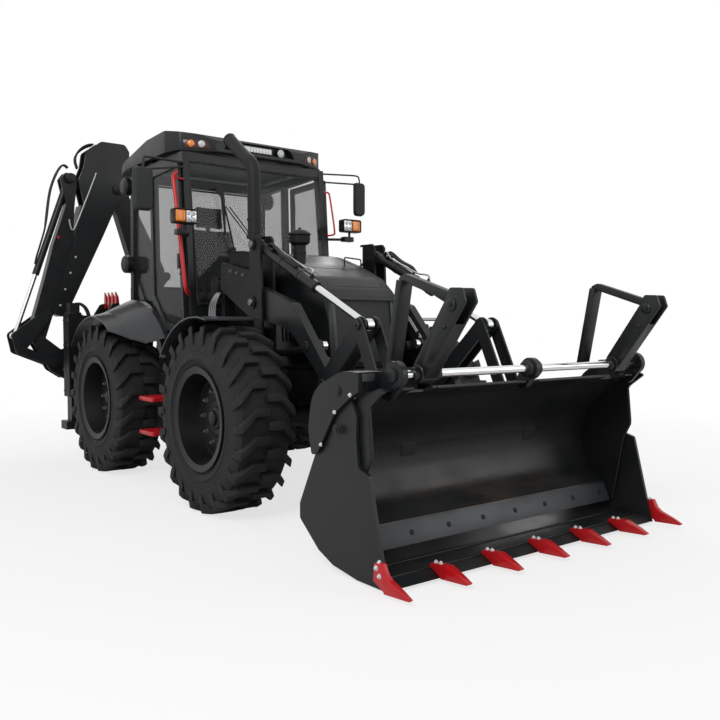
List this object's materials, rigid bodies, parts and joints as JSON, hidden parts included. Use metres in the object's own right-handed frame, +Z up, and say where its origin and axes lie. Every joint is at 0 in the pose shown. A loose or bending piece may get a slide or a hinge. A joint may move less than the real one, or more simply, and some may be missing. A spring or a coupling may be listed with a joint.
{
  "type": "backhoe loader",
  "caption": "Black wheeled backhoe loader with a clam front bucket carrying folding forks, closed cab, side-shifting backhoe with sliding dipper, and vertical stabilizers.",
  "frame": {"origin": "on the ground, at the middle of the bounding box", "axes": "+X ahead, towards the loader bucket; +Y to the machine's left; +Z up"},
  "size_m": [6.2566, 2.8415, 3.4199],
  "materials": {
    "black_paint": "satin",
    "chrome": "polished",
    "exhaust": "heat-dulled",
    "frame_black": "satin",
    "glass": "tinted",
    "lamp": "gloss",
    "mesh": "perforated",
    "plastic": "fine texture",
    "red_paint": "semi-gloss",
    "rim_black": "semi-gloss",
    "trim": "woven",
    "tyre": "matte"
  },
  "bodies": {
    "machine": {"chassis_frame": "frame_black", "axle_front": "frame_black", "axle_rear": "frame_black", "engine_block": "frame_black", "hood": "black_paint", "grille": "mesh", "stacks": "exhaust", "rear_fenders": "black_paint", "cab_frame": "black_paint", "cab_roof": "black_paint", "cab_glass": "glass", "cab_interior": "trim", "lamps": "lamp", "mirrors": "plastic", "steps_rails": "red_paint"},
    "knuckle_left": {"knuckle_left": "black_paint"},
    "knuckle_right": {"knuckle_right": "black_paint"},
    "wheel_front_left": {"tyre_front_left": "tyre", "rim_front_left": "rim_black"},
    "wheel_front_right": {"tyre_front_right": "tyre", "rim_front_right": "rim_black"},
    "wheel_rear_left": {"tyre_rear_left": "tyre", "rim_rear_left": "rim_black"},
    "wheel_rear_right": {"tyre_rear_right": "tyre", "rim_rear_right": "rim_black"},
    "door_left": {"door_left": "black_paint", "door_glass_left": "glass"},
    "door_right": {"door_right": "black_paint", "door_glass_right": "glass"},
    "loader": {"loader_arms": "black_paint"},
    "tip_levers": {"tip_levers": "black_paint"},
    "tip_links": {"tip_links": "black_paint"},
    "tilt_barrels": {"tilt_barrels": "black_paint"},
    "tilt_rods": {"tilt_rods": "chrome"},
    "lift_barrels": {"lift_barrels": "black_paint"},
    "lift_rods": {"lift_rods": "chrome"},
    "bucket": {"bucket_shell": "black_paint", "fork_shaft": "chrome"},
    "clam": {"bucket_clam": "black_paint", "bucket_teeth": "red_paint"},
    "forks": {"fork_arms": "black_paint"},
    "tines": {"fork_tines": "black_paint"},
    "leg_left": {"stabilizer_leg_left": "black_paint"},
    "leg_right": {"stabilizer_leg_right": "black_paint"},
    "carriage": {"hoe_carriage": "black_paint"},
    "kingpost": {"kingpost": "black_paint"},
    "boom": {"boom": "black_paint"},
    "dipper": {"dipper": "black_paint"},
    "extension": {"dipper_extension": "black_paint"},
    "hoe_bucket": {"hoe_bucket": "black_paint", "hoe_teeth": "red_paint"},
    "hoe_lever": {"hoe_lever": "black_paint"},
    "hoe_link": {"hoe_link": "black_paint"},
    "boom_barrel": {"boom_ram_barrel": "black_paint"},
    "boom_rod": {"boom_ram_rod": "chrome"},
    "dipper_barrel": {"dipper_ram_barrel": "black_paint"},
    "dipper_rod": {"dipper_ram_rod": "chrome"},
    "crowd_barrel": {"crowd_ram_barrel": "black_paint"},
    "crowd_rod": {"crowd_ram_rod": "chrome"}
  },
  "joints": [
    {"name": "steer_left", "type": "hinge", "parent": "machine", "child": "knuckle_left", "pos_m": [0.6417, 0.84825, 0.7], "axis": [0, 0, 1], "range_deg": [-25, 25]},
    {"name": "steer_right", "type": "hinge", "parent": "machine", "child": "knuckle_right", "pos_m": [0.6417, -0.53175, 0.7], "axis": [0, 0, 1], "range_deg": [-25, 25]},
    {"name": "spin_front_left", "type": "hinge", "parent": "knuckle_left", "child": "wheel_front_left", "pos_m": [0.6417, 1.13425, 0.7], "axis": [0, 1, 0], "continuous": true},
    {"name": "spin_front_right", "type": "hinge", "parent": "knuckle_right", "child": "wheel_front_right", "pos_m": [0.6417, -0.81775, 0.7], "axis": [0, 1, 0], "continuous": true},
    {"name": "spin_rear_left", "type": "hinge", "parent": "machine", "child": "wheel_rear_left", "pos_m": [-1.4983, 1.13425, 0.7], "axis": [0, 1, 0], "continuous": true},
    {"name": "spin_rear_right", "type": "hinge", "parent": "machine", "child": "wheel_rear_right", "pos_m": [-1.4983, -0.81775, 0.7], "axis": [0, 1, 0], "continuous": true},
    {"name": "door_left_swing", "type": "hinge", "parent": "machine", "child": "door_left", "pos_m": [-1.0933, 0.93325, 1.8], "axis": [0, 0, 1], "range_deg": [0, 75]},
    {"name": "door_right_swing", "type": "hinge", "parent": "machine", "child": "door_right", "pos_m": [-1.0933, -0.61675, 1.8], "axis": [0, 0, -1], "range_deg": [0, 75]},
    {"name": "loader_lift", "type": "hinge", "parent": "machine", "child": "loader", "pos_m": [0.5017, 0.15825, 1.57], "axis": [0, -1, 0], "range_deg": [0, 80]},
    {"name": "tilt_barrel_swing", "type": "hinge", "parent": "machine", "child": "tilt_barrels", "pos_m": [0.5117, 0.15825, 2.022], "axis": [0, -1, 0], "range_deg": [0, 85.87]},
    {"name": "tilt_rod_slide", "type": "slide", "parent": "tilt_barrels", "child": "tilt_rods", "axis": [0.9083, 0, -0.4183], "range_m": [-0.5973, 0]},
    {"name": "lift_barrel_swing", "type": "hinge", "parent": "machine", "child": "lift_barrels", "pos_m": [0.5317, 0.15825, 1.16], "axis": [0, -1, 0], "range_deg": [0, 65.34]},
    {"name": "lift_rod_slide", "type": "slide", "parent": "lift_barrels", "child": "lift_rods", "axis": [0.9932, 0, 0.1168], "range_m": [0, 0.4991]},
    {"name": "bucket_tilt", "type": "hinge", "parent": "loader", "child": "bucket", "pos_m": [1.9717, 0.15825, 0.44], "axis": [0, 1, 0], "range_deg": [-40, 75]},
    {"name": "tip_lever_swing", "type": "hinge", "parent": "loader", "child": "tip_levers", "pos_m": [1.4517, 0.15825, 0.985], "axis": [0, 1, 0], "range_deg": [-27.53, 51.61]},
    {"name": "tip_link_swing", "type": "hinge", "parent": "tip_levers", "child": "tip_links", "pos_m": [1.8777, 0.15825, 1.393], "axis": [0, 1, 0], "range_deg": [-70.82, 37.77]},
    {"name": "clam_open", "type": "hinge", "parent": "bucket", "child": "clam", "pos_m": [2.4667, 0.15825, 1.033], "axis": [0, -1, 0], "range_deg": [0, 60]},
    {"name": "fork_flip", "type": "hinge", "parent": "bucket", "child": "forks", "pos_m": [2.7767, 0.15825, 1.13], "axis": [0, -1, 0], "range_deg": [-144, 0]},
    {"name": "tine_fold", "type": "hinge", "parent": "forks", "child": "tines", "pos_m": [3.0317, 0.15825, 1.5], "axis": [0, 1, 0], "range_deg": [0, 150]},
    {"name": "leg_left_drop", "type": "slide", "parent": "machine", "child": "leg_left", "axis": [0, 0, 1], "range_m": [-0.29, 0]},
    {"name": "leg_right_drop", "type": "slide", "parent": "machine", "child": "leg_right", "axis": [0, 0, 1], "range_m": [-0.29, 0]},
    {"name": "side_shift", "type": "slide", "parent": "machine", "child": "carriage", "axis": [0, 1, 0], "range_m": [-0.93, 0.21]},
    {"name": "slew", "type": "hinge", "parent": "carriage", "child": "kingpost", "pos_m": [-2.9283, 0.51825, 1.02], "axis": [0, 0, 1], "range_deg": [-180, 0]},
    {"name": "boom_swing", "type": "hinge", "parent": "kingpost", "child": "boom", "pos_m": [-2.9283, 0.34325, 1.02], "axis": [1, 0, 0], "range_deg": [0, 85]},
    {"name": "boom_barrel_swing", "type": "hinge", "parent": "kingpost", "child": "boom_barrel", "pos_m": [-2.9283, 0.59825, 1.23], "axis": [1, 0, 0], "range_deg": [0, 75.15]},
    {"name": "boom_rod_slide", "type": "slide", "parent": "boom_barrel", "child": "boom_rod", "axis": [0, -0.5286, 0.8489], "range_m": [0, 0.4427]},
    {"name": "dipper_swing", "type": "hinge", "parent": "boom", "child": "dipper", "pos_m": [-2.9283, -0.26175, 2.905], "axis": [-1, 0, 0], "range_deg": [0, 110]},
    {"name": "dipper_barrel_swing", "type": "hinge", "parent": "boom", "child": "dipper_barrel", "pos_m": [-2.9283, 0.32825, 1.96], "axis": [-1, 0, 0], "range_deg": [0, 19.84]},
    {"name": "dipper_rod_slide", "type": "slide", "parent": "dipper_barrel", "child": "dipper_rod", "axis": [0, -0.4499, 0.8931], "range_m": [-0.5266, 0]},
    {"name": "dipper_slide", "type": "slide", "parent": "dipper", "child": "extension", "axis": [0, -0.258, -0.9661], "range_m": [0, 1.1]},
    {"name": "hoe_bucket_curl", "type": "hinge", "parent": "extension", "child": "hoe_bucket", "pos_m": [-2.9283, -1.17275, 1.244], "axis": [-1, 0, 0], "range_deg": [0, 150]},
    {"name": "hoe_lever_swing", "type": "hinge", "parent": "extension", "child": "hoe_lever", "pos_m": [-2.9283, -1.05675, 1.507], "axis": [-1, 0, 0], "range_deg": [0, 80.29]},
    {"name": "hoe_link_swing", "type": "hinge", "parent": "hoe_lever", "child": "hoe_link", "pos_m": [-2.9283, -1.34075, 1.126], "axis": [-1, 0, 0], "range_deg": [0, 2.91]},
    {"name": "crowd_barrel_swing", "type": "hinge", "parent": "extension", "child": "crowd_barrel", "pos_m": [-2.9283, -0.78175, 2.983], "axis": [-1, 0, 0], "range_deg": [0, 8.36]},
    {"name": "crowd_rod_slide", "type": "slide", "parent": "crowd_barrel", "child": "crowd_rod", "axis": [0, -0.3257, -0.9455], "range_m": [-0.4548, 0]}
  ],
  "couplings": [
    {"joint": "steer_right", "follows": "steer_left", "ratio": 1},
    {"joint": "tilt_barrel_swing", "follows": "loader_lift", "ratio": 1.0524},
    {"joint": "tilt_rod_slide", "follows": "loader_lift", "m_per_rad": -0.41938},
    {"joint": "lift_barrel_swing", "follows": "loader_lift", "ratio": 0.80074},
    {"joint": "lift_rod_slide", "follows": "loader_lift", "m_per_rad": 0.35043},
    {"joint": "tip_lever_swing", "follows": "bucket_tilt", "ratio": 0.67469},
    {"joint": "tip_link_swing", "follows": "bucket_tilt", "ratio": -0.92582},
    {"joint": "boom_barrel_swing", "follows": "boom_swing", "ratio": 0.86678},
    {"joint": "boom_rod_slide", "follows": "boom_swing", "m_per_rad": 0.29255},
    {"joint": "dipper_barrel_swing", "follows": "dipper_swing", "ratio": 0.17685},
    {"joint": "dipper_rod_slide", "follows": "dipper_swing", "m_per_rad": -0.26891},
    {"joint": "hoe_lever_swing", "follows": "hoe_bucket_curl", "ratio": 0.52477},
    {"joint": "hoe_link_swing", "follows": "hoe_bucket_curl", "ratio": 0.01902},
    {"joint": "crowd_barrel_swing", "follows": "hoe_bucket_curl", "ratio": 0.05466},
    {"joint": "crowd_rod_slide", "follows": "hoe_bucket_curl", "m_per_rad": -0.17031}
  ]
}
